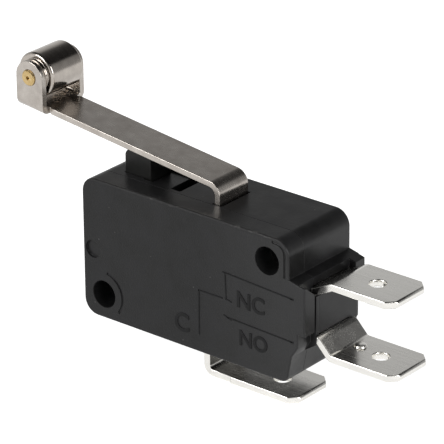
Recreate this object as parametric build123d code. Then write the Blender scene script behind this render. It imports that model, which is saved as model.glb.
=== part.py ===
from build123d import *
import os
from math import cos, radians, sqrt, tan

# Lever micro switch, in millimetres, with +Z up.
# The origin is the middle of the two mounting holes, half way through the case.
# X runs towards the two end tabs and Y from the front cover to the back.
# Sizes named from_left or from_right are measured from that end of the case.
# Heights are measured from the middle of the holes, which the whole mechanism is set from.

# Case shell
case_length = 27.8
case_depth = 10.3
case_height = 15.9
hole_inset = 2.8
hole_diameter = 3.1
hole_boss_diameter = 5.0
parting_gap = 0.15
skin = 1.2
wall = 1.3
roof = 2.9
end_block = 3.8
corner_radius = 1.75
edge_round = 0.2
play = 0.05

# Stepped end that the two end tabs leave from
end_wall_reach = 1.2
cheek_reach = 2.05
cheek_play = 0.25
cheek_chamfer = 2.0
cheek_chamfer_drop = 1.7
shoulder_above_nc = 1.65
shoulder_slope = 13.0
front_cheek_below_nc = 4.26
back_cheek_below_nc = 0.2
ramp_below_no = 0.5
ramp_angle = 57.0
ramp_drop = 1.26
foot_angle = 79.0
ramp_round = 0.9
post_reach = 1.93
post_below_no = 0.75
post_slit = 0.4
post_inset = 1.3

# Inside of the case
plunger_pocket_gap = 0.4
rest_before_stem = 2.8
rest_length = 2.6
peg_diameter = 1.4
peg_length = 0.9
upper_peg_from_left = 12.9
upper_peg_drop = 1.5
lower_peg_from_right = 2.2
lower_peg_rise = 2.3

# Roller lever, one folded strip
sheet = 0.7
strip_width = 4.7
strip_tilt = 6.6
strip_rise = 2.32
strip_bend_radius = 0.8
pivot_from_left = 16.2
pivot_depth = 1.1
tail_below_pivot = 0.75
swing_room = 0.25
lug_reach = 0.6
lug_height = 1.0
ear_radius = 1.85
ear_fold_radius = 0.2
relief_notch = 0.2
relief_notch_height = 3.0

# Roller and its pin
roller_from_pivot = 25.0
roller_diameter = 5.0
barrel_length = 4.9
roller_rim = 0.2
roller_gap = 0.54
hub_diameter = 3.6
hub_length = 0.3
pin_diameter = 1.75
pin_proud = 0.2
pin_rim = 0.1
pin_dimple = 0.45
pin_play = 0.03

# Plunger
plunger_from_left = 4.84
plunger_length = 3.56
plunger_width = 3.3
plunger_play = 0.06
plunger_crown_radius = 5.0
plunger_crown_edge = 0.8
plunger_lever_gap = 0.03
flange_reach = 0.45
flange_height = 1.1
foot_length = 2.0
foot_width = 2.6
foot_shift = 0.26
foot_round = 0.9
foot_clearance = 1.52

# Terminal strips and their tabs
tab_thickness = 0.8
tab_width = 6.35
tab_tip_chamfer = 1.0
tab_bevel = 0.2
tab_hole_diameter = 1.8
tab_hole_from_tip = 4.1
inner_width = 4.8
terminal_bend = 0.35
arm_past_contact = 1.9
nc_z = 2.15
no_z = -3.05

# Outside the case the normally closed tab steps up and the normally open tab down
nc_step_start = 0.3
nc_step_length = 2.4
nc_step = 1.21
nc_reach = 10.45
nc_hole_from_tip = 4.22
no_step_start = 0.97
no_step_length = 1.6
no_step = -1.65
no_reach = 10.85
nib_diameter = 1.3
nib_height = 0.25
nib_from_tip = 7.1
nib_y = 0.5

# The common strip stands in the case bottom and carries the spring blade
common_before_arms = 3.4
common_drop = 3.3
common_reach = 11.9
common_neck = 3.3
common_neck_width = 6.1
common_bend = 0.4
arm_over_boss = 0.15

# Snap blade: a flat spring with a bowed tongue
blade_thickness = 0.25
blade_z = 0.05
blade_width = 4.4
blade_pivot_from_left = 2.3
blade_bar = 0.8
blade_window_start = 5.3
blade_window_end = 3.9
blade_window_width = 2.2
tongue_width = 1.5
tongue_rise = 0.9
tongue_gap = 0.1
post_width = 1.8
post_height = 0.9
post_play = 0.15
anchor_from_pivot = 7.2
anchor_height = 0.3

# Contacts
contact_from_right = 7.3
contact_gap = 0.98
contact_play = 0.03
contact_diameter = 3.0
contact_rim = 0.15
contact_dome_radius = 6.0
moving_contact_height = 1.8
shank_diameter = 1.6
shank_play = 0.01
rivet_end_diameter = 2.2
rivet_end_height = 0.35

# Marks moulded in the cover's face
groove_depth = 0.15
groove_width = 0.3
rim_groove_inset = 0.5
rim_groove_run = 0.4
hole_groove_radius = 2.6
hole_groove_start = -40
hole_groove_sweep = 120
gate_mark_from_left = 1.35
gate_mark_z = -0.25
gate_mark_diameter = 2.0
gate_mark_depth = 0.3

# Seats for the lever's tail, the second one spare, and the recess beside the plunger
slot_depth = 2.2
spare_slot_from_left = 9.3
spare_slot_length = 1.65
spare_slot_inset = 0.3
recess_from_left = 5.8
recess_width = 3.8
recess_depth = 0.25

# Places that follow from the sizes above
left = -case_length / 2
right = case_length / 2
bottom = -case_height / 2
top = case_height / 2
front = -case_depth / 2
back = case_depth / 2
parting = -inner_width / 2 - parting_gap
cheek_face = tab_width / 2 + cheek_play
holes = [(left + hole_inset, bottom + hole_inset), (right - hole_inset, top - hole_inset)]
pegs = [
    (left + upper_peg_from_left, top - upper_peg_drop),
    (right - lower_peg_from_right, bottom + lower_peg_rise),
]
end_wall = right + end_wall_reach
cheek_end = right + cheek_reach
shoulder_z = nc_z + shoulder_above_nc
ramp_top = no_z - ramp_below_no
ledge = (end_wall - ramp_drop / tan(radians(ramp_angle)), ramp_top - ramp_drop)
post_end = right + post_reach
shoulder_fall = tan(radians(shoulder_slope))
cavity_left = left + wall
cavity_right = right - end_block
cavity_floor = bottom + wall
cavity_ceiling = top - roof
pivot_x = left + pivot_from_left
pivot_z = top - pivot_depth
strip_slope = tan(radians(strip_tilt))
strip_drop = sheet / cos(radians(strip_tilt))
roller_x = pivot_x - roller_from_pivot
plunger_x = left + plunger_from_left
contact_x = right - contact_from_right
arm_end = contact_x - arm_past_contact
common_x = arm_end - common_before_arms
common_arm_z = holes[0][1] + hole_boss_diameter / 2 + arm_over_boss + tab_thickness / 2
blade_pivot_x = left + blade_pivot_from_left
post_x = blade_pivot_x + play + tab_thickness / 2
anchor_x = blade_pivot_x + anchor_from_pivot
roller_back = (barrel_length + hub_length) / 2
roller_front = -roller_back
ear_inside = roller_back + play
ear_outside = ear_inside + sheet
beyond = 2 * case_length


def block(low, high):
    """A box given by its lowest and highest corners."""
    size = [b - a for a, b in zip(low, high)]
    middle = [(a + b) / 2 for a, b in zip(low, high)]
    return Pos(*middle) * Box(*size)


def panel(x_low, x_high, y_low, y_high):
    """A rectangle given by its edges."""
    return Pos((x_low + x_high) / 2, (y_low + y_high) / 2) * Rectangle(x_high - x_low, y_high - y_low)


def slab(sketch, y_from, y_to):
    """A side view pulled from one depth to another."""
    return extrude(Plane.XZ.offset(-y_from) * sketch, amount=y_from - y_to)


def rod(x, z, diameter, y_from, y_to):
    """A round bar along Y."""
    return slab(Pos(x, z) * Circle(diameter / 2), y_from, y_to)


def ribbon(points, radii, thickness, width):
    """A folded strip along a line with rounded corners, as wide to the front as to the back."""
    path = FilletPolyline(*points, radius=radii)
    return slab(trace(path, line_width=thickness), -width / 2, width / 2)


def strip_top_z(x):
    """Height of the lever's upper face over a place on X."""
    return top + strip_rise + (pivot_x - x) * strip_slope


# The roller runs just above the strip, so its height follows from the strip's
roller_z = strip_top_z(roller_x) + (roller_diameter / 2 + roller_gap) / cos(radians(strip_tilt))
crown_z = strip_top_z(plunger_x) - strip_drop
crown_z -= (plunger_crown_radius + plunger_lever_gap) / cos(radians(strip_tilt))


def case_outline():
    """Side view of the case: round corners, a stepped end and a ramp with a ledge below it."""
    ramp_foot = (ledge[0] - (ledge[1] - bottom) / tan(radians(foot_angle)), bottom)
    face = make_face(
        Polyline(
            (left, bottom),
            ramp_foot,
            ledge,
            (end_wall, ramp_top),
            (end_wall, shoulder_z - end_wall_reach * shoulder_fall),
            (right, shoulder_z),
            (right, top),
            (left, top),
            close=True,
        )
    )
    square = [(left, bottom), (right, top), (left, top)]
    face = fillet([face.vertices().sort_by_distance(place)[0] for place in square], corner_radius)
    return fillet(face.vertices().sort_by_distance(ramp_foot)[0], ramp_round)


def cheek(low_z, y_from, y_to):
    """A cheek that guards the root of an end tab, flush with the shoulder."""
    corners = [
        (right, low_z),
        (cheek_end, low_z),
        (cheek_end, shoulder_z - cheek_reach * shoulder_fall),
        (right, shoulder_z),
    ]
    return slab(make_face(Polyline(*corners, close=True)), y_from, y_to)


def end_post(y_from, y_to):
    """The post between the cheeks that the end strips leave from, sloping to the ramp's ledge below."""
    post_top = nc_z - tab_thickness / 2 - play
    corners = [(right, post_top), (post_end, post_top), (post_end, no_z - post_below_no), ledge]
    return slab(make_face(Polyline(*corners, close=True)), y_from, y_to)


def cavity():
    """Side view of the hollow round the mechanism, with the hole bosses left standing."""
    region = panel(cavity_left, cavity_right, cavity_floor, cavity_ceiling)
    pocket_end = plunger_x + plunger_length / 2 + flange_reach + plunger_pocket_gap
    region += panel(cavity_left, pocket_end, cavity_floor, top - wall)
    for x, z in holes:
        region -= Pos(x, z) * Circle(hole_boss_diameter / 2)
    low_x, low_z = holes[0]
    boss_radius = hole_boss_diameter / 2
    region -= panel(left, low_x + boss_radius, bottom, low_z)
    return region - panel(left, low_x, bottom, low_z + boss_radius)


def strip_slots(arm_front, neck_front):
    """Slots through the case for the two end strips and the common strip."""
    half = tab_thickness / 2 + play
    arm_back = inner_width / 2 + play
    neck_back = common_neck_width / 2 + play
    slots = block(
        (common_x - half, neck_front, bottom - wall),
        (common_x + half, neck_back, cavity_floor + wall),
    )
    for arm_z in (nc_z, no_z):
        slots += block(
            (cavity_right - wall, arm_front, arm_z - half),
            (end_wall + wall, arm_back, arm_z + half),
        )
    return slots


def lever_seat():
    """The slot for the lever's tail, with a round seat at each side for its lugs."""
    half = strip_width / 2 + play
    low = pivot_x - sheet / 2 - swing_room
    high = pivot_x + sheet / 2 + swing_room
    seat_diameter = sqrt(sheet ** 2 + lug_height ** 2) + 2 * play
    reach = strip_width / 2 + lug_reach + play
    return block((low, -half, top - slot_depth), (high, half, top + wall)) + rod(
        pivot_x, pivot_z, seat_diameter, -reach, reach
    )


def base_housing():
    body = slab(case_outline(), parting, back)
    body = fillet(body.faces().sort_by(Axis.Y)[-1].outer_wire().edges(), edge_round)
    body -= slab(cavity(), parting, back - skin)
    rest_right = common_x - rest_before_stem
    rest_top = common_arm_z - tab_thickness / 2
    body += block((rest_right - rest_length, parting, cavity_floor), (rest_right, back - skin, rest_top))
    body += cheek(nc_z - back_cheek_below_nc, cheek_face, back - edge_round)
    body += end_post(parting, back - post_inset)
    body -= strip_slots(front, front)
    body -= lever_seat()
    x_half = plunger_length / 2 + plunger_play
    y_half = plunger_width / 2 + plunger_play
    body -= block((plunger_x - x_half, -y_half, top - 2 * wall), (plunger_x + x_half, y_half, top + wall))
    spare_low = left + spare_slot_from_left
    spare_high = spare_low + spare_slot_length
    spare_front = spare_slot_inset - strip_width / 2
    recess_low = left + recess_from_left
    recess_half = recess_width / 2
    body -= block((spare_low, spare_front, top - slot_depth), (spare_high, strip_width / 2, top + wall))
    body -= block((recess_low, -recess_half, top - recess_depth), (spare_low + play, recess_half, top + wall))
    for x, z in holes:
        body -= rod(x, z, hole_diameter, front, back + skin)
    for x, z in pegs:
        body += rod(x, z, peg_diameter, parting - peg_length, parting)
    return body


def face_marks():
    """Shallow lines and the round mark that the mould leaves in the cover's face."""
    groove_x = right - rim_groove_inset
    groove_z = top - rim_groove_inset
    groove_end = right - corner_radius - rim_groove_run
    bend = corner_radius - rim_groove_inset
    edge = FilletPolyline((groove_x, shoulder_z), (groove_x, groove_z), (groove_end, groove_z), radius=bend)
    marks = trace(edge, line_width=groove_width)
    arc = CenterArc(holes[0], hole_groove_radius, hole_groove_start, hole_groove_sweep)
    marks += trace(arc, line_width=groove_width)
    lines = slab(marks, front - skin, front + groove_depth)
    gate_x = left + gate_mark_from_left
    return lines + rod(gate_x, gate_mark_z, gate_mark_diameter, front - skin, front + gate_mark_depth)


def front_cover():
    body = slab(case_outline(), front, parting)
    body += cheek(nc_z - front_cheek_below_nc, front, -cheek_face)
    body = fillet(body.faces().sort_by(Axis.Y)[0].outer_wire().edges(), edge_round)
    body += end_post(post_slit - cheek_face, parting)
    body -= slab(cavity(), front + skin, parting)
    body -= lever_seat()
    body -= strip_slots(-inner_width / 2 - play, -common_neck_width / 2 - play)
    wedge = Polyline(
        (-cheek_face - cheek_chamfer, shoulder_z),
        (-cheek_face + play, shoulder_z),
        (-cheek_face + play, shoulder_z - cheek_chamfer_drop),
        close=True,
    )
    body -= extrude(Plane.YZ.offset(end_wall) * make_face(wedge), amount=cheek_reach)
    for x, z in holes:
        body -= rod(x, z, hole_diameter, front - skin, back)
    for x, z in pegs:
        body -= rod(x, z, peg_diameter + 2 * play, parting - peg_length - play, parting)
    return body - face_marks()


def plunger():
    flange_top = top - wall - play
    flange_bottom = flange_top - flange_height
    foot_x = plunger_x + foot_shift
    foot_tip = blade_z + blade_thickness / 2 + foot_clearance
    side = panel(plunger_x - plunger_length / 2, plunger_x + plunger_length / 2, flange_bottom, top + beyond)
    side &= Pos(plunger_x, crown_z) * Circle(plunger_crown_radius)
    side = fillet(side.vertices().sort_by(Axis.Y)[-2:], plunger_crown_edge)
    body = slab(side, -plunger_width / 2, plunger_width / 2)
    x_half = plunger_length / 2 + flange_reach
    y_half = plunger_width / 2 + flange_reach
    body += block((plunger_x - x_half, -y_half, flange_bottom), (plunger_x + x_half, y_half, flange_top))
    foot = panel(foot_x - foot_length / 2, foot_x + foot_length / 2, foot_tip, flange_bottom)
    foot = fillet(foot.vertices().sort_by(Axis.Y)[:2], foot_round)
    return body + slab(foot, -foot_width / 2, foot_width / 2)


def lever():
    corner_z = strip_top_z(pivot_x) - strip_drop / 2
    end_x = roller_x - ear_radius
    path = [
        (pivot_x, pivot_z - tail_below_pivot),
        (pivot_x, corner_z),
        (end_x, corner_z + (pivot_x - end_x) * strip_slope),
    ]
    strip = ribbon(path, strip_bend_radius + sheet / 2, sheet, strip_width)
    lug_half = strip_width / 2 + lug_reach
    strip += block(
        (pivot_x - sheet / 2, -lug_half, pivot_z - lug_height / 2),
        (pivot_x + sheet / 2, lug_half, pivot_z + lug_height / 2),
    )
    notch_x = roller_x + ear_radius
    for side in (-1, 1):
        notch = Box(relief_notch, 2 * relief_notch, relief_notch_height)
        strip -= Pos(notch_x + relief_notch / 2, side * strip_width / 2, strip_top_z(notch_x)) * notch
    return strip + roller_ears()


def roller_ears():
    """The two ears that fold up from the strip's end and carry the roller's pin."""
    start_x = roller_x - 2 * ear_radius
    start = (start_x, 0, strip_top_z(start_x) - strip_drop)
    along_strip = (1, 0, -strip_slope)
    channel_plane = Plane(origin=start, x_dir=(0, 1, 0), z_dir=along_strip)
    height = 2 * (roller_diameter + ear_radius)
    outer = Pos(0, height / 2) * Rectangle(2 * ear_outside, height)
    outer = fillet(outer.vertices().sort_by(Axis.Y)[:2], ear_fold_radius + sheet)
    inner = Pos(0, sheet + height / 2) * Rectangle(2 * ear_inside, height)
    inner = fillet(inner.vertices().sort_by(Axis.Y)[:2], ear_fold_radius)
    channel = extrude(channel_plane * (outer - inner), amount=2 * (roller_x - start_x))
    side_view = Pos(roller_x, roller_z) * Circle(ear_radius)
    side_view += panel(roller_x - ear_radius, roller_x + ear_radius, roller_z - height, roller_z)
    channel &= slab(side_view, -ear_outside, ear_outside)
    return channel - rod(roller_x, roller_z, pin_diameter, -2 * ear_outside, 2 * ear_outside)


def roller():
    barrel_front = roller_front + hub_length
    body = rod(roller_x, roller_z, roller_diameter, barrel_front, roller_back)
    body = chamfer(body.edges().filter_by(GeomType.CIRCLE), roller_rim)
    body += rod(roller_x, roller_z, hub_diameter, roller_front, barrel_front)
    return body - rod(roller_x, roller_z, pin_diameter + 2 * pin_play, -ear_outside, ear_outside)


def roller_pin():
    end = ear_outside + pin_proud
    body = rod(roller_x, roller_z, pin_diameter, -end, end)
    body = chamfer(body.edges().filter_by(GeomType.CIRCLE), pin_rim)
    for y in (-end, end):
        body -= rod(roller_x, roller_z, pin_dimple, y - pin_dimple / 2, y + pin_dimple / 2)
    return body


def tab_plan(stations, tip_x):
    """Top view of a strip from pairs of place and width, with a chamfered tab at its tip."""
    half = stations[-1][1] / 2
    edge = []
    for (x, width), (next_x, _) in zip(stations, stations[1:] + [(tip_x - tab_tip_chamfer, 0)]):
        edge += [(x, width / 2), (next_x, width / 2)]
    edge.append((tip_x, half - tab_tip_chamfer))
    mirrored = [(x, -y) for x, y in reversed(edge)]
    return make_face(Polyline(*edge, *mirrored, close=True))


def bevelled(body):
    """A tab with its tip thinned to a lead-in."""
    tip_face = body.faces().sort_by(Axis.X)[-1]
    long_edges = [edge for edge in tip_face.edges() if edge.length > 2 * tab_thickness]
    return chamfer(long_edges, tab_bevel)


def strip_terminal(path, radii, stations, tip_x, hole_from_tip):
    """A stamped strip: folded along a path, cut to its top view, with a hole near its tip."""
    body = ribbon(path, radii, tab_thickness, tab_width)
    body &= extrude(tab_plan(stations, tip_x), amount=beyond, both=True)
    hole = Cylinder(tab_hole_diameter / 2, 2 * tab_thickness)
    return bevelled(body) - Pos(tip_x - hole_from_tip, 0, path[0][1]) * hole


def end_terminal(arm_z, step_start, step_length, step, reach, hole_from_tip, tab_start):
    """An end terminal: a tab, a step outside the case and a contact arm inside."""
    tip_x = end_wall + reach
    step_x = end_wall + step_start
    path = [
        (tip_x, arm_z + step),
        (step_x + step_length, arm_z + step),
        (step_x, arm_z),
        (arm_end, arm_z),
    ]
    stations = [(arm_end, inner_width), (tab_start + 2 * play, tab_width)]
    body = strip_terminal(path, terminal_bend + tab_thickness / 2, stations, tip_x, hole_from_tip)
    shank_hole = shank_diameter / 2 + shank_play
    return body - Pos(contact_x, 0, arm_z) * Cylinder(shank_hole, 2 * tab_thickness)


def nc_terminal():
    return end_terminal(nc_z, nc_step_start, nc_step_length, nc_step, nc_reach, nc_hole_from_tip, end_wall)


def no_terminal():
    body = end_terminal(no_z, no_step_start, no_step_length, no_step, no_reach, tab_hole_from_tip, post_end)
    nib_x = end_wall + no_reach - nib_from_tip
    nib_z = no_z + no_step + tab_thickness / 2
    return body + Pos(nib_x, nib_y, nib_z + nib_height / 2) * Cylinder(nib_diameter / 2, nib_height)


def common_terminal():
    tip_x = common_x + common_reach
    tab_z = bottom - common_drop
    post_top = blade_z + post_height
    path = [
        (tip_x, tab_z),
        (common_x, tab_z),
        (common_x, common_arm_z),
        (post_x, common_arm_z),
        (post_x, post_top),
    ]
    bends = [common_bend + tab_thickness / 2] + 2 * [terminal_bend + tab_thickness / 2]
    stations = [
        (post_x - tab_thickness / 2, post_width),
        (post_x + tab_thickness, inner_width),
        (common_x - tab_thickness, common_neck_width),
        (common_x + common_neck, tab_width),
    ]
    body = strip_terminal(path, bends, stations, tip_x, tab_hole_from_tip)
    anchor_half = tongue_width / 2
    anchor_left = anchor_x - tab_thickness
    lanced = anchor_left - blade_z + common_arm_z
    body -= block(
        (lanced, -anchor_half, common_arm_z - tab_thickness),
        (anchor_left, anchor_half, common_arm_z + tab_thickness),
    )
    return body + block(
        (anchor_left, -anchor_half, common_arm_z), (anchor_x, anchor_half, blade_z + anchor_height)
    )


def rivet(x, z, face_z, direction):
    """A fixed contact riveted through a strip at z, with its face towards the moving contact."""
    radius = contact_diameter / 2
    seat = z - direction * tab_thickness / 2
    near = z + direction * tab_thickness / 2
    far = seat - direction * rivet_end_height
    profile = [
        (0, face_z),
        (radius - contact_rim, face_z),
        (radius, face_z - direction * contact_rim),
        (radius, near),
        (shank_diameter / 2, near),
        (shank_diameter / 2, seat),
        (rivet_end_diameter / 2, seat),
        (rivet_end_diameter / 2, far),
        (0, far),
    ]
    turned = revolve(Plane.XZ * make_face(Polyline(*profile, close=True)), Axis.Z)
    return Pos(x, 0, 0) * turned


def nc_contact():
    face = blade_z + moving_contact_height / 2 + contact_play
    return rivet(contact_x, nc_z, face, -1)


def no_contact():
    face = blade_z - moving_contact_height / 2 - contact_gap - contact_play
    return rivet(contact_x, no_z, face, 1)


def moving_contact():
    """A contact with two domed heads, riveted through the blade's end."""
    half = moving_contact_height / 2
    head = Cylinder(contact_diameter / 2 - contact_rim, moving_contact_height)
    dome = Sphere(contact_dome_radius)
    head &= Pos(0, 0, half - contact_dome_radius) * dome
    head &= Pos(0, 0, contact_dome_radius - half) * dome
    head -= Cylinder(contact_diameter, blade_thickness) - Cylinder(shank_diameter / 2, blade_thickness)
    return Pos(contact_x, 0, blade_z) * head


def snap_blade():
    bar_left = blade_pivot_x - blade_bar
    half = blade_width / 2
    plan = panel(bar_left, contact_x, -half, half)
    plan += Pos(contact_x, 0) * Circle(half)
    window_left = blade_pivot_x + blade_window_start
    window_right = contact_x - blade_window_end
    plan -= panel(window_left, window_right, -blade_window_width / 2, blade_window_width / 2)
    slot_right = post_x + tab_thickness / 2 + post_play
    slot_half = post_width / 2 + post_play
    plan -= panel(blade_pivot_x, slot_right, -slot_half, slot_half)
    plan -= Pos(contact_x, 0) * Circle(shank_diameter / 2 + shank_play)
    flat = Pos(0, 0, blade_z) * extrude(plan, amount=blade_thickness / 2, both=True)
    free_end = anchor_x + tongue_gap
    bow = ThreePointArc(
        (free_end, blade_z),
        ((free_end + window_right) / 2, blade_z + tongue_rise),
        (window_right + blade_thickness, blade_z),
    )
    tongue = slab(trace(bow, line_width=blade_thickness), -tongue_width / 2, tongue_width / 2)
    return flat + tongue


nodes = {
    "base_housing": base_housing,
    "front_cover": front_cover,
    "plunger": plunger,
    "lever": lever,
    "roller": roller,
    "roller_pin": roller_pin,
    "common_terminal": common_terminal,
    "nc_terminal": nc_terminal,
    "no_terminal": no_terminal,
    "nc_contact": nc_contact,
    "no_contact": no_contact,
    "moving_contact": moving_contact,
    "snap_blade": snap_blade,
}

os.makedirs("parts", exist_ok=True)
for name, make in nodes.items():
    export_step(make(), f"parts/{name}.step")
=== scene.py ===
"""Lever micro switch: black moulded case, folded steel roller lever and silver plated tabs."""

from math import cos, radians, sin

import bmesh
import bpy
from mathutils import Matrix, Vector


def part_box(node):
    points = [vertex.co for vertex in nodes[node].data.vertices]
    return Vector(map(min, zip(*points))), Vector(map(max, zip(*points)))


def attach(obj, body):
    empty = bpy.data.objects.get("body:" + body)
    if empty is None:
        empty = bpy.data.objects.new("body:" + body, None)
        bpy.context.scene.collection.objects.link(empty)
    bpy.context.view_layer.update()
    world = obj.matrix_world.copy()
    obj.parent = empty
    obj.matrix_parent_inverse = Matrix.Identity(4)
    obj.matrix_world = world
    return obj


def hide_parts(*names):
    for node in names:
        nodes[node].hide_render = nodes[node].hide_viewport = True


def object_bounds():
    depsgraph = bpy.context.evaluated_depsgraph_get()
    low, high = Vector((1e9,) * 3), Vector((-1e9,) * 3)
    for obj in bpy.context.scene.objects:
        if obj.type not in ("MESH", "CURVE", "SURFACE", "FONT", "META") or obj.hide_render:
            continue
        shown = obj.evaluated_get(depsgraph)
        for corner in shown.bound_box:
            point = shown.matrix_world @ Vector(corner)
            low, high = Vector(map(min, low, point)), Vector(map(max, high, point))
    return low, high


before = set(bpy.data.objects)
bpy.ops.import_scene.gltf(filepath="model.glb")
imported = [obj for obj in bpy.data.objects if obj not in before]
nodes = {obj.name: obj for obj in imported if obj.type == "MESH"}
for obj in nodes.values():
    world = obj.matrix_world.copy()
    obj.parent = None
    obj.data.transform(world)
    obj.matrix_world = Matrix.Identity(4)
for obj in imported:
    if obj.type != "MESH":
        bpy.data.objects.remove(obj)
cad_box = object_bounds()

MM = 0.001

# The case, in millimetres, as the frame has it
case_low, case_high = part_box("front_cover")
FACE_Y = case_low.y / MM
TOP_Z = case_high.z / MM


# Materials

# Noise lies mostly between these two values
NOISE_SPAN = {"From Min": 0.3, "From Max": 0.7}
# The colour sockets of a Mix node, which share their names with its sockets of other types
COLOUR_A, COLOUR_B, COLOUR_OUT = 6, 7, 2


def srgb(hex_colour):
    """Linear colour for a shader from an sRGB hex value."""
    parts = [int(hex_colour[i : i + 2], 16) / 255 for i in (1, 3, 5)]
    linear = [c / 12.92 if c <= 0.04045 else ((c + 0.055) / 1.055) ** 2.4 for c in parts]
    return (*linear, 1.0)


def add(tree, kind, inputs=None, output=0, **settings):
    """Adds a node and gives one of its outputs; each input is a plain value or another's output."""
    node = tree.nodes.new(kind)
    for name, value in settings.items():
        setattr(node, name, value)
    for name, value in (inputs or {}).items():
        if isinstance(value, bpy.types.NodeSocket):
            tree.links.new(value, node.inputs[name])
        else:
            node.inputs[name].default_value = value
    return node.outputs[output] if len(node.outputs) else None


def new_tree(holder):
    """The node tree of a material or a world, emptied."""
    holder.use_nodes = True
    holder.node_tree.nodes.clear()
    return holder.node_tree


def new_material(name):
    """A material, its empty node tree, and the place on the piece that its patterns read."""
    material = bpy.data.materials.new(name)
    tree = new_tree(material)
    return material, tree, add(tree, "ShaderNodeTexCoord", output="Object")


def finish_material(tree, inputs):
    """Ends a material with its shader, whose constants sit on its own sockets."""
    shader = add(tree, "ShaderNodeBsdfPrincipled", inputs)
    add(tree, "ShaderNodeOutputMaterial", {"Surface": shader})


def grain(tree, place, size_mm, stretch=(1, 1, 1), detail=3.0):
    """Noise whose patches are about size_mm across, drawn out by stretch along X, Y and Z."""
    scale = [1 / (size_mm * MM * s) for s in stretch]
    mapped = add(tree, "ShaderNodeMapping", {"Vector": place, "Scale": scale})
    return add(tree, "ShaderNodeTexNoise", {"Vector": mapped, "Scale": 1.0, "Detail": detail})


def shades(tree, pattern, dark_hex, pale_hex):
    """A colour that follows noise from a dark to a pale shade."""
    share = add(tree, "ShaderNodeMapRange", {"Value": pattern, **NOISE_SPAN})
    colours = {"Factor": share, COLOUR_A: srgb(dark_hex), COLOUR_B: srgb(pale_hex)}
    return add(tree, "ShaderNodeMix", colours, COLOUR_OUT, data_type="RGBA")


def strip_roughness(tree, lines, smooth, rough, cloud, less, more):
    """Roughness that follows the rolling lines of a strip, with a cloudy change laid over them."""
    fine = {"Value": lines, **NOISE_SPAN, "To Min": smooth, "To Max": rough}
    broad = {"Value": cloud, **NOISE_SPAN, "To Min": less, "To Max": more}
    parts = {
        0: add(tree, "ShaderNodeMapRange", fine),
        1: add(tree, "ShaderNodeMapRange", broad),
    }
    return add(tree, "ShaderNodeMath", parts, operation="ADD")


def ramp_along(tree, vector, axis, start, end, low=0.0, high=1.0):
    """A value that goes from low to high as one part of a vector goes from start to end."""
    part = add(tree, "ShaderNodeSeparateXYZ", {"Vector": vector}, axis)
    span = {"Value": part, "From Min": start, "From Max": end, "To Min": low, "To Max": high}
    return add(tree, "ShaderNodeMapRange", span)


def moulded_phenolic():
    # Glass filled black phenolic: the cover's face comes matte from a spark eroded mould, and the
    # top, ends and slopes come smoother. Pale filler shows as specks, and as nicks along the upper
    # front edge, over a faint pale line there that is a painted highlight of the rounded edge
    material, tree, place = new_material("moulded_black_phenolic")
    face = ramp_along(tree, place, "Y", (FACE_Y + 0.02) * MM, (FACE_Y + 0.2) * MM, 1.0, 0.0)
    pits = grain(tree, place, 0.16, detail=2.0)
    flow = grain(tree, place, 2.5, detail=4.0)
    chips = grain(tree, place, 0.35, (3, 1, 1), detail=4.0)

    near_face = ramp_along(tree, place, "Y", (FACE_Y + 0.16) * MM, (FACE_Y + 0.3) * MM, 1.0, 0.0)
    near_top = ramp_along(tree, place, "Z", (TOP_Z - 0.3) * MM, (TOP_Z - 0.16) * MM)
    edge = add(tree, "ShaderNodeMath", {0: near_face, 1: near_top}, operation="MULTIPLY")
    # Everywhere along the upper front edge some pale colour is mixed in, as a painted highlight of
    # the rounded edge; the stronger chips are pale filler nicks
    chips_and_painted_edge_highlight = add(
        tree,
        "ShaderNodeMapRange",
        {"Value": chips, "From Min": 0.57, "From Max": 0.72, "To Min": 0.15, "To Max": 1.0},
    )
    nicks_and_painted_edge_highlight = add(tree, "ShaderNodeMath", {0: edge, 1: chips_and_painted_edge_highlight}, operation="MULTIPLY")
    speck_spacing = 2.2 * MM
    cells = add(tree, "ShaderNodeTexVoronoi", {"Vector": place, "Scale": 1 / speck_spacing})
    specks = add(
        tree,
        "ShaderNodeMapRange",
        {"Value": cells, "From Min": 0.02, "From Max": 0.04, "To Min": 1.0, "To Max": 0.0},
    )
    filler_and_painted_edge_highlight = add(tree, "ShaderNodeMath", {0: nicks_and_painted_edge_highlight, 1: specks}, operation="MAXIMUM")
    resin = shades(tree, flow, "#171717", "#222223")
    colours = {"Factor": filler_and_painted_edge_highlight, COLOUR_A: resin, COLOUR_B: srgb("#4e4d4c")}
    colour = add(tree, "ShaderNodeMix", colours, COLOUR_OUT, data_type="RGBA")

    # The flat top shines least, and below it the end with the tabs shines most
    endward = ramp_along(tree, place, "X", 2 * MM, 14 * MM)
    below_top = ramp_along(tree, place, "Z", (TOP_Z - 0.4) * MM, (TOP_Z - 0.05) * MM, 1.0, 0.0)
    near_tabs = add(tree, "ShaderNodeMath", {0: endward, 1: below_top}, operation="MULTIPLY")
    sheens = {
        0: add(tree, "ShaderNodeMapRange", {"Value": below_top, "To Min": 0.16, "To Max": 0.22}),
        1: add(tree, "ShaderNodeMapRange", {"Value": near_tabs, "To Min": 0.0, "To Max": 0.13}),
    }
    sheen = add(tree, "ShaderNodeMath", sheens, operation="ADD")

    streaks = {"Value": flow, **NOISE_SPAN, "To Min": -0.08, "To Max": 0.08}
    roughness = {
        0: add(tree, "ShaderNodeMapRange", {"Value": face, "To Min": 0.36, "To Max": 0.5}),
        1: add(tree, "ShaderNodeMapRange", streaks),
    }
    pit_depth = add(tree, "ShaderNodeMapRange", {"Value": face, "To Min": 0.25, "To Max": 1.0})
    pitting = add(tree, "ShaderNodeMath", {0: pits, 1: pit_depth}, operation="MULTIPLY")
    waves = add(tree, "ShaderNodeBump", {"Height": flow, "Distance": 0.03 * MM})
    bumps = {"Height": pitting, "Distance": 0.032 * MM, "Normal": waves}
    finish_material(
        tree,
        {
            "Base Color": colour,
            "Roughness": add(tree, "ShaderNodeMath", roughness, operation="ADD"),
            "IOR": 1.5,
            "Specular IOR Level": sheen,
            "Normal": add(tree, "ShaderNodeBump", bumps),
        },
    )
    return material


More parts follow.
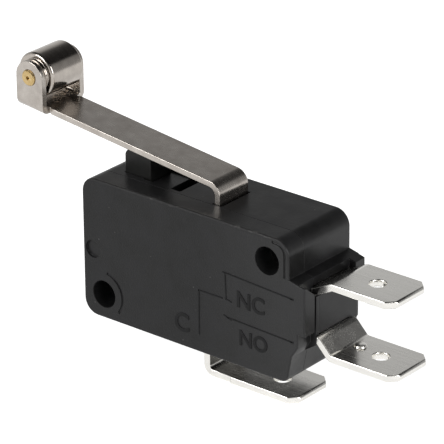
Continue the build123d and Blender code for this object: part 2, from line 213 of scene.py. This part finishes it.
def polished_phenolic():
    # Tops of the raised marks, from polished cuts in the mould: smoother than the matte face, so
    # they show a little darker
    material, tree, place = new_material("polished_black_phenolic")
    flow = grain(tree, place, 0.8)
    finish_material(
        tree,
        {
            "Base Color": shades(tree, flow, "#191919", "#1e1e1f"),
            "Roughness": 0.35,
            "IOR": 1.5,
            "Specular IOR Level": 0.12,
            "Normal": add(tree, "ShaderNodeBump", {"Height": flow, "Distance": 0.006 * MM}),
        },
    )
    return material


def moulded_acetal():
    # Dark acetal button: a smooth, slightly waxy surface
    material, tree, place = new_material("moulded_dark_acetal")
    flow = grain(tree, place, 0.8)
    finish_material(
        tree,
        {
            "Base Color": shades(tree, flow, "#131312", "#191918"),
            "Roughness": 0.3,
            "IOR": 1.48,
            "Specular IOR Level": 0.25,
            "Normal": add(tree, "ShaderNodeBump", {"Height": flow, "Distance": 0.004 * MM}),
        },
    )
    return material


def rolled_stainless():
    # Bare stainless strip: rolling lines run along the strip, so highlights stretch across it
    material, tree, place = new_material("rolled_stainless_strip")
    lines = grain(tree, place, 0.12, (60, 1, 1), detail=4.0)
    cloud = grain(tree, place, 1.6)
    finish_material(
        tree,
        {
            "Base Color": shades(tree, cloud, "#aaa39c", "#c3bdb6"),
            "Metallic": 1.0,
            "Roughness": strip_roughness(tree, lines, 0.21, 0.28, cloud, -0.02, 0.02),
            "Normal": add(tree, "ShaderNodeBump", {"Height": lines, "Distance": 0.0006 * MM}),
        },
    )
    return material


def turned_steel():
    # Turned and polished steel: fine rings round the axis, drawn coarser than real ones so that
    # they show
    material, tree, place = new_material("turned_polished_steel")
    rings = grain(tree, place, 0.1, (80, 1, 80))
    cloud = grain(tree, place, 0.9, detail=2.0)
    shine = {"Value": rings, **NOISE_SPAN, "To Min": 0.1, "To Max": 0.2}
    finish_material(
        tree,
        {
            "Base Color": shades(tree, cloud, "#aea7a0", "#bcb5ad"),
            "Metallic": 1.0,
            "Roughness": add(tree, "ShaderNodeMapRange", shine),
            "Normal": add(tree, "ShaderNodeBump", {"Height": rings, "Distance": 0.0012 * MM}),
        },
    )
    return material


def punched_brass():
    # Bare brass rod, its head formed over with a punch: warm and bright, with dull patches
    material, tree, place = new_material("punched_brass")
    cloud = grain(tree, place, 0.35)
    shine = {"Value": cloud, **NOISE_SPAN, "To Min": 0.22, "To Max": 0.38}
    finish_material(
        tree,
        {
            "Base Color": shades(tree, cloud, "#b99d68", "#d2ba8a"),
            "Metallic": 1.0,
            "Roughness": add(tree, "ShaderNodeMapRange", shine),
            "Normal": add(tree, "ShaderNodeBump", {"Height": cloud, "Distance": 0.004 * MM}),
        },
    )
    return material


def silver_plate():
    # Silver plated brass strip: pale and satin, with faint rolling lines under the plating
    material, tree, place = new_material("silver_plated_brass")
    lines = grain(tree, place, 0.14, (40, 1, 1))
    cloud = grain(tree, place, 1.8)
    finish_material(
        tree,
        {
            "Base Color": shades(tree, cloud, "#e8e6e1", "#f1efea"),
            "Metallic": 1.0,
            "Roughness": strip_roughness(tree, lines, 0.16, 0.28, cloud, -0.03, 0.04),
            "Normal": add(tree, "ShaderNodeBump", {"Height": lines, "Distance": 0.0012 * MM}),
        },
    )
    return material


def headed_silver():
    # Fine silver rivets, cold headed: very pale, softly reflecting
    material, tree, place = new_material("headed_fine_silver")
    cloud = grain(tree, place, 0.4, detail=2.0)
    shine = {"Value": cloud, **NOISE_SPAN, "To Min": 0.22, "To Max": 0.34}
    finish_material(
        tree,
        {
            "Base Color": shades(tree, cloud, "#dedcd6", "#efeee9"),
            "Metallic": 1.0,
            "Roughness": add(tree, "ShaderNodeMapRange", shine),
        },
    )
    return material


def beryllium_copper():
    # Rolled beryllium copper spring strip: a warm metal with lines along the blade
    material, tree, place = new_material("rolled_beryllium_copper")
    lines = grain(tree, place, 0.1, (50, 1, 1))
    shine = {"Value": lines, **NOISE_SPAN, "To Min": 0.26, "To Max": 0.36}
    finish_material(
        tree,
        {
            "Base Color": shades(tree, lines, "#b9825a", "#cf9b70"),
            "Metallic": 1.0,
            "Roughness": add(tree, "ShaderNodeMapRange", shine),
        },
    )
    return material


phenolic = moulded_phenolic()
acetal = moulded_acetal()
stainless = rolled_stainless()
steel = turned_steel()
brass = punched_brass()
plate = silver_plate()
silver = headed_silver()
copper = beryllium_copper()
mark_plastic = polished_phenolic()


# Pieces

# Corners within this distance are one, when a CAD mesh's loose triangles are joined
MERGE_M = 1e-7
# Triangles that turn less than this lie in one flat face, and edges that turn more than
# the second are sharp, in degrees
FLAT_DEG = 0.4
SHARP_DEG = 34.0

# The marks on the cover, in millimetres: how far they stand out and reach in, and their widths
MARK_RAISED = 0.05
MARK_SUNK = 0.03
LINE_WIDTH = 0.17
DOT_WIDTH = 0.34
DOT_HALF_LENGTH = 0.05
# Share of its half width by which a bar's top is smaller all round than its foot
BAR_TAPER = 0.3
# Depth of the letters and the weight added to their strokes, in units of the font
LETTER_DEPTH = 0.02
LETTER_WEIGHT = 0.02


def finish_piece(mesh, name, body, material, replaced=()):
    """A finished mesh becomes a piece that rides on its body."""
    mesh.materials.clear()
    mesh.materials.append(material)
    piece = bpy.data.objects.new(name, mesh)
    bpy.context.scene.collection.objects.link(piece)
    if replaced:
        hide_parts(*replaced)
    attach(piece, body)
    return piece


def softened(node, edge_mm):
    """A copy of a CAD mesh whose sharp edges are rounded by edge_mm."""
    built = bmesh.new()
    built.from_mesh(nodes[node].data)
    bmesh.ops.remove_doubles(built, verts=built.verts, dist=MERGE_M)
    bmesh.ops.dissolve_limit(
        built,
        angle_limit=radians(FLAT_DEG),
        verts=built.verts,
        edges=built.edges,
        use_dissolve_boundaries=False,
    )
    mesh = bpy.data.meshes.new(node + "_mesh")
    built.to_mesh(mesh)
    built.free()
    mesh.shade_smooth()
    draft = bpy.data.objects.new(node + "_draft", mesh)
    bpy.context.scene.collection.objects.link(draft)
    bevel = draft.modifiers.new("edges", "BEVEL")
    bevel.width = edge_mm * MM
    bevel.segments = 2
    bevel.limit_method = "ANGLE"
    bevel.angle_limit = radians(SHARP_DEG)
    bevel.use_clamp_overlap = False
    bevel.miter_outer = "MITER_ARC"
    normals = draft.modifiers.new("flat_faces_stay_flat", "WEIGHTED_NORMAL")
    normals.weight = 100
    normals.keep_sharp = False
    evaluated = draft.evaluated_get(bpy.context.evaluated_depsgraph_get())
    rounded = bpy.data.meshes.new_from_object(evaluated)
    bpy.data.objects.remove(draft)
    return rounded


def bar(built, start, end, width_mm):
    """A raised bar on the cover's face between two places, each given as X and Z."""
    start = Vector((start[0], 0, start[1]))
    end = Vector((end[0], 0, end[1]))
    along = (end - start).normalized()
    across = Vector((-along.z, 0, along.x))
    half_width = width_mm / 2
    half_length = (end - start).length / 2 + half_width
    shrink = 1 - BAR_TAPER * half_width / half_length
    foot = (FACE_Y + MARK_SUNK, half_length, half_width)
    top = (FACE_Y - MARK_RAISED, half_length * shrink, half_width * (shrink - BAR_TAPER))
    rings = []
    for y, reach, side in (foot, top):
        middle = (start + end) / 2 + Vector((0, y, 0))
        signs = ((-1, -1), (-1, 1), (1, 1), (1, -1))
        corners = [middle + a * reach * along + b * side * across for a, b in signs]
        rings.append([built.verts.new(corner * MM) for corner in corners])
    low, high = rings
    built.faces.new(high)
    for i in range(4):
        built.faces.new((low[i], low[(i + 1) % 4], high[(i + 1) % 4], high[i]))


def letters(built, text, left, low, high):
    """Raised letters on the cover's face, from their left edge, lower edge and upper edge."""
    curve = bpy.data.curves.new("text", "FONT")
    curve.body = text
    curve.extrude = LETTER_DEPTH
    curve.offset = LETTER_WEIGHT
    draft = bpy.data.objects.new("text", curve)
    bpy.context.scene.collection.objects.link(draft)
    evaluated = draft.evaluated_get(bpy.context.evaluated_depsgraph_get())
    mesh = bpy.data.meshes.new_from_object(evaluated)
    bpy.data.objects.remove(draft)
    xs = [v.co.x for v in mesh.vertices]
    ys = [v.co.y for v in mesh.vertices]
    scale = (high - low) / (max(ys) - min(ys))
    thickness_scale = (MARK_SUNK + MARK_RAISED) / (2 * LETTER_DEPTH)
    y_middle = FACE_Y + (MARK_SUNK - MARK_RAISED) / 2
    for v in mesh.vertices:
        x = left + (v.co.x - min(xs)) * scale
        y = y_middle - v.co.z * thickness_scale
        z = low + (v.co.y - min(ys)) * scale
        v.co = Vector((x, y, z)) * MM
    built.from_mesh(mesh)


# Marks moulded on the cover: the contact diagram and the letters of the three contacts
diagram = [
    ((5.33, 2.25), (14.35, 1.80)),
    ((5.58, 2.2), (5.70, -0.72)),
    ((5.70, -0.72), (6.37, -0.87)),
    ((2.06, -0.78), (2.06, -5.84)),
    ((2.06, -0.78), (5.17, -0.76)),
    ((5.42, -2.63), (6.35, -2.93)),
    ((5.9, -2.78), (14.36, -3.05)),
]
dots = [(14.35, 1.80), (14.36, -3.05)]
marks = bmesh.new()
for start, end in diagram:
    bar(marks, start, end, LINE_WIDTH)
for x, z in dots:
    bar(marks, (x - DOT_HALF_LENGTH, z), (x + DOT_HALF_LENGTH, z), DOT_WIDTH)
letters(marks, "NC", left=7.18, low=-1.18, high=0.71)
letters(marks, "NO", left=7.48, low=-5.44, high=-3.66)
letters(marks, "C", left=-1.25, low=-6.24, high=-4.05)
bmesh.ops.recalc_face_normals(marks, faces=marks.faces)
marks_mesh = bpy.data.meshes.new("face_marks_mesh")
marks.to_mesh(marks_mesh)
marks.free()

# Every CAD node gets its finish
finishes = {
    "base_housing": phenolic,
    "front_cover": phenolic,
    "plunger": acetal,
    "lever": stainless,
    "roller": steel,
    "roller_pin": brass,
    "common_terminal": plate,
    "nc_terminal": plate,
    "no_terminal": plate,
    "nc_contact": silver,
    "no_contact": silver,
    "moving_contact": silver,
    "snap_blade": copper,
}
for name, material in finishes.items():
    for slot in nodes[name].material_slots:
        slot.material = material

# What shows from outside, apart from the pin, gets edges that are a little round, as pressing,
# turning and moulding leave them, in a copy that stands in for the node. Each row holds the body,
# the slot and the size of the edge in millimetres
rounded_edges = {
    "base_housing": ("case", "case_plastic", 0.05),
    "front_cover": ("case", "case_plastic", 0.05),
    "lever": ("lever", "lever_steel", 0.07),
    "common_terminal": ("case", "terminal_metal", 0.1),
    "nc_terminal": ("case", "terminal_metal", 0.1),
    "no_terminal": ("case", "terminal_metal", 0.1),
    "plunger": ("plunger", "plunger_plastic", 0.12),
    "roller": ("roller", "roller_steel", 0.08),
}
for name, (body, slot, edge_mm) in rounded_edges.items():
    finish_piece(softened(name, edge_mm), name + "_edged", body, finishes[name], [name])
finish_piece(marks_mesh, "face_marks", "case", mark_plastic)


# Studio: a pale floor, a white surround that darkens overhead, and two soft lamps

FLOOR_GAP_MM = 0.2
FLOOR_HALF_M = 1.5
# Brighter to the camera than in reflections, so that the paper stays white and the metal keeps
# its greys
PAPER_GLOW = 0.58
PAPER_EXTRA_TO_CAMERA = 0.3
ROOM_STRENGTH = 0.95
# Brightness of the room from the horizon, at 0, to straight overhead, at 1
ROOM_LEVELS = [
    (0.0, 0.8),
    (0.1, 0.8),
    (0.41, 0.6),
    (0.53, 0.37),
    (0.57, 0.2),
    (0.63, 0.1),
    (0.72, 0.05),
    (1.0, 0.06),
]

floor_z = cad_box[0][2] - FLOOR_GAP_MM * MM
floor_corners = [
    (-FLOOR_HALF_M, -FLOOR_HALF_M, floor_z),
    (FLOOR_HALF_M, -FLOOR_HALF_M, floor_z),
    (FLOOR_HALF_M, FLOOR_HALF_M, floor_z),
    (-FLOOR_HALF_M, FLOOR_HALF_M, floor_z),
]
floor_mesh = bpy.data.meshes.new("floor")
floor_mesh.from_pydata(floor_corners, [], [(0, 1, 2, 3)])
floor = bpy.data.objects.new("floor", floor_mesh)
bpy.context.scene.collection.objects.link(floor)

paper = bpy.data.materials.new("white_paper")
tree = new_tree(paper)
to_camera = add(tree, "ShaderNodeLightPath", output="Is Camera Ray")
seen = to_camera
for kind in ("Is Glossy Ray", "Is Transmission Ray"):
    ray = add(tree, "ShaderNodeLightPath", output=kind)
    seen = add(tree, "ShaderNodeMath", {0: seen, 1: ray}, operation="MAXIMUM")
glows = {
    0: add(tree, "ShaderNodeMath", {0: seen, 1: PAPER_GLOW}, operation="MULTIPLY"),
    1: add(tree, "ShaderNodeMath", {0: to_camera, 1: PAPER_EXTRA_TO_CAMERA}, operation="MULTIPLY"),
}
glow = add(tree, "ShaderNodeMath", glows, operation="ADD")
shaders = {
    0: add(tree, "ShaderNodeEmission", {"Strength": glow}),
    1: add(tree, "ShaderNodeBsdfDiffuse", {"Color": srgb("#dcdcdc")}),
}
add(tree, "ShaderNodeOutputMaterial", {"Surface": add(tree, "ShaderNodeAddShader", shaders)})
floor_mesh.materials.append(paper)

world = bpy.data.worlds.new("surround")
bpy.context.scene.world = world
tree = new_tree(world)
direction = add(tree, "ShaderNodeTexCoord", output="Generated")
height = add(tree, "ShaderNodeSeparateXYZ", {"Vector": direction}, "Z")
level_colour = add(tree, "ShaderNodeValToRGB", {"Fac": height})
elements = level_colour.node.color_ramp.elements
while len(elements) < len(ROOM_LEVELS):
    elements.new(0.5)
for element, (position, brightness) in zip(elements, ROOM_LEVELS):
    element.position = position
    element.color = (brightness, brightness, brightness, 1.0)
# Behind on the right stands a darker wall, above the horizon only, and darker still high up
rightward = ramp_along(tree, direction, "X", -0.2, 0.5)
wall_parts = {
    0: ramp_along(tree, direction, "Z", -0.02, 0.08, 0.0, 0.48),
    1: ramp_along(tree, direction, "Z", 0.48, 0.55, 0.0, 0.52),
}
wall = add(tree, "ShaderNodeMath", wall_parts, operation="ADD")
shade = add(tree, "ShaderNodeMath", {0: rightward, 1: wall}, operation="MULTIPLY")
light = add(tree, "ShaderNodeMath", {0: 1.0, 1: shade}, operation="SUBTRACT")
strength = add(tree, "ShaderNodeMath", {0: light, 1: ROOM_STRENGTH}, operation="MULTIPLY")
shaders = {
    0: add(tree, "ShaderNodeLightPath", output="Is Camera Ray"),
    1: add(tree, "ShaderNodeBackground", {"Color": level_colour, "Strength": strength}),
    2: add(tree, "ShaderNodeBackground", {"Color": (1, 1, 1, 1), "Strength": 1.0}),
}
add(tree, "ShaderNodeOutputWorld", {"Surface": add(tree, "ShaderNodeMixShader", shaders)})


def softbox(name, place, size, watts):
    """A square lamp aimed at the middle of the switch."""
    lamp = bpy.data.lights.new(name, "AREA")
    lamp.shape = "SQUARE"
    lamp.size = size
    lamp.energy = watts
    holder = bpy.data.objects.new(name, lamp)
    holder.location = place
    holder.rotation_euler = Vector(place).to_track_quat("Z", "Y").to_euler()
    bpy.context.scene.collection.objects.link(holder)


softbox("key_front", (-0.25, -0.55, 0.30), 0.35, 3.0)
softbox("fill_right", (0.60, -0.10, 0.25), 0.35, 2.4)


# Camera, from the photograph's perspective

AZIMUTH = radians(39.5)
ELEVATION = radians(24.23)
ROLL = radians(-0.43)
DISTANCE_MM = 354.16
FOCAL_WIDTHS = 7.5952
SENSOR_MM = 36.0
NEAREST_M = 0.01
AIM_MM = Vector((0.1, -0.15, 0.05))
AIM_RIGHT_MM = 0.759
AIM_UP_MM = 4.199

back = Vector((sin(AZIMUTH) * cos(ELEVATION), -cos(AZIMUTH) * cos(ELEVATION), sin(ELEVATION)))
level = Vector((cos(AZIMUTH), sin(AZIMUTH), 0))
upright = back.cross(level)
right = cos(ROLL) * level + sin(ROLL) * upright
top = cos(ROLL) * upright - sin(ROLL) * level
camera_data = bpy.data.cameras.new("camera")
camera_data.sensor_fit = "HORIZONTAL"
camera_data.sensor_width = SENSOR_MM
camera_data.lens = FOCAL_WIDTHS * SENSOR_MM
camera_data.clip_start = NEAREST_M
camera = bpy.data.objects.new("camera", camera_data)
eye = (AIM_MM + AIM_RIGHT_MM * right + AIM_UP_MM * top + DISTANCE_MM * back) * MM
camera.matrix_world = Matrix.Translation(eye) @ Matrix((right, top, back)).transposed().to_4x4()
bpy.context.scene.collection.objects.link(camera)
bpy.context.scene.camera = camera
bpy.context.scene.view_settings.view_transform = "Standard"
